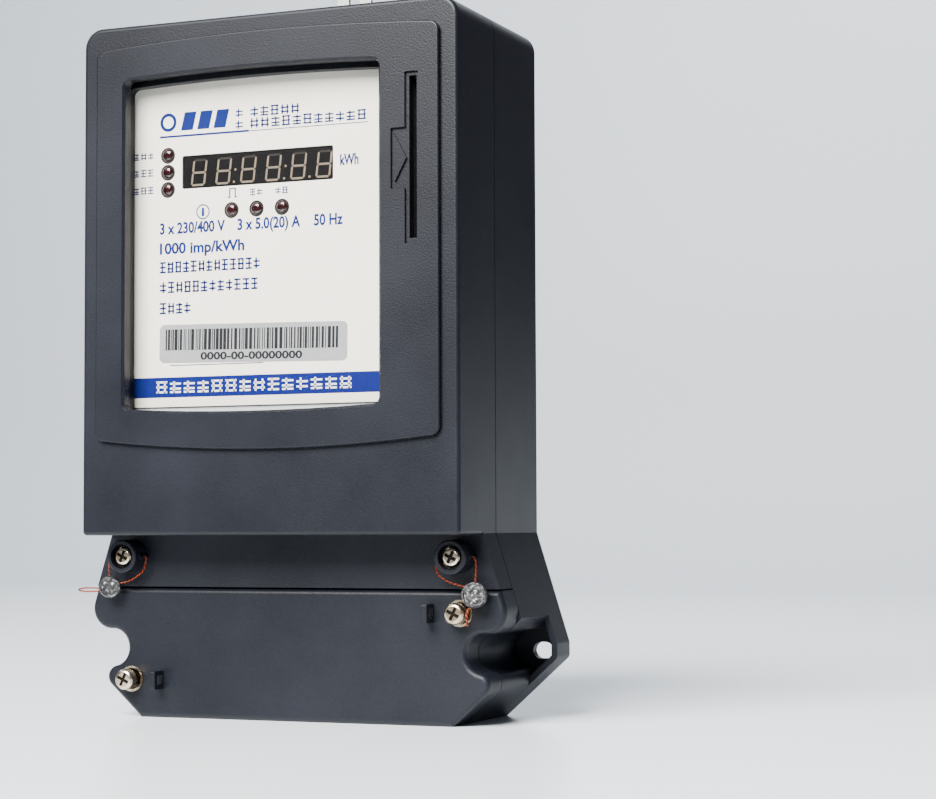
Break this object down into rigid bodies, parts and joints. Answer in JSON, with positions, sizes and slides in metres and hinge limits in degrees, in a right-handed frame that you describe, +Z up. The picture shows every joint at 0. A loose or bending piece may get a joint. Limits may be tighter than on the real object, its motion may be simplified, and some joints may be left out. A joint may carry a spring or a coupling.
{
  "type": "prepaid electricity meter",
  "caption": "Wall-mounted prepaid electricity meter with a display window, an edge card slot, a screwed terminal cover and lead seals.",
  "frame": {"origin": "on the ground plane under the middle of the case, whose bottom edge is at Z = 0", "axes": "+X to the viewer's right, the front faces -Y, +Z up; the wall side is +Y"},
  "size_m": [0.1734, 0.075, 0.2785],
  "materials": {
    "case_plastic": "spark-eroded grain, dark slate grey",
    "steel": "zinc plated",
    "nickel": "nickel plated, bright",
    "clear_plastic": "clear polished",
    "rubber": "matt",
    "plate_white": "printed, satin",
    "carrier_grey": "moulded, light grey",
    "foil_label": "satin foil",
    "display_black": "smoked",
    "lamp_red": "tinted epoxy",
    "circuit_board": "solder resist",
    "black_plastic": "moulded",
    "yellow_tape": "tape",
    "blue_parts": "coated",
    "brass": "machined",
    "copper": "tinned in part",
    "lead": "pressed lead, dull",
    "seal_wire": "copper and steel strands twisted",
    "green_plastic": "moulded"
  },
  "bodies": {
    "case": {"base_housing": "case_plastic", "upper_cover": "case_plastic", "hanger_keeper": "steel", "keeper_screws": "steel", "window_pane": "clear_plastic", "cover_gasket": "rubber", "cover_screws": "nickel", "nameplate": "plate_white", "nameplate_carrier": "carrier_grey", "carrier_screws": "steel", "barcode_label": "foil_label", "display_module": "display_black", "led_lamps": "lamp_red", "display_board": "circuit_board", "display_board_screws": "steel", "card_reader_socket": "black_plastic", "card_reader_side": "black_plastic", "card_contacts": "brass", "card_board": "circuit_board", "main_board": "circuit_board", "main_board_screws": "steel", "transformer_core": "steel", "transformer_coil": "yellow_tape", "capacitors": "black_plastic", "chips": "black_plastic", "optocouplers": "black_plastic", "varistors": "blue_parts", "backup_battery": "steel", "battery_holder": "black_plastic", "output_relay": "blue_parts", "clock_crystal": "steel", "board_headers": "black_plastic", "ribbon_cable": "rubber", "current_transformers": "blue_parts", "current_loops": "copper", "voltage_leads": "copper", "terminal_block": "black_plastic", "terminal_block_screws": "steel", "terminals": "brass", "terminal_screws": "steel", "signal_terminals": "green_plastic", "signal_screws": "steel", "threaded_inserts": "brass"},
    "terminal_cover": {"terminal_cover": "case_plastic", "screw_bushes": "nickel"},
    "lid_screw_left": {"lid_screw_left": "nickel"},
    "lid_screw_right": {"lid_screw_right": "nickel"},
    "hanger": {"hanger": "steel"},
    "seal_left": {"seal_wire_left": "seal_wire", "lead_seal_left": "lead"},
    "seal_right": {"seal_wire_right": "seal_wire", "lead_seal_right": "lead"}
  },
  "joints": [
    {"name": "terminal_cover_slide", "type": "slide", "parent": "case", "child": "terminal_cover", "axis": [0, -1, 0], "range_m": [0, 0.022]},
    {"name": "lid_screw_left_turn", "type": "hinge", "parent": "terminal_cover", "child": "lid_screw_left", "pos_m": [-0.0655, -0.0145, 0.0139], "axis": [0, -1, 0], "continuous": true},
    {"name": "lid_screw_right_turn", "type": "hinge", "parent": "terminal_cover", "child": "lid_screw_right", "pos_m": [0.0655, -0.0145, 0.0393], "axis": [0, -1, 0], "continuous": true},
    {"name": "hanger_slide", "type": "slide", "parent": "case", "child": "hanger", "axis": [0, 0, 1], "range_m": [-0.022, 0]},
    {"name": "seal_left_swing", "type": "hinge", "parent": "case", "child": "seal_left", "pos_m": [-0.0652, -0.0179, 0.0588], "axis": [-1, 0, 0], "range_deg": [0, 76]},
    {"name": "seal_right_swing", "type": "hinge", "parent": "case", "child": "seal_right", "pos_m": [0.0652, -0.0179, 0.0588], "axis": [-1, 0, 0], "range_deg": [0, 76]}
  ],
  "couplings": [
    {"joint": "seal_left_swing", "follows": "terminal_cover_slide", "rad_per_m": 60},
    {"joint": "seal_right_swing", "follows": "terminal_cover_slide", "rad_per_m": 60}
  ]
}
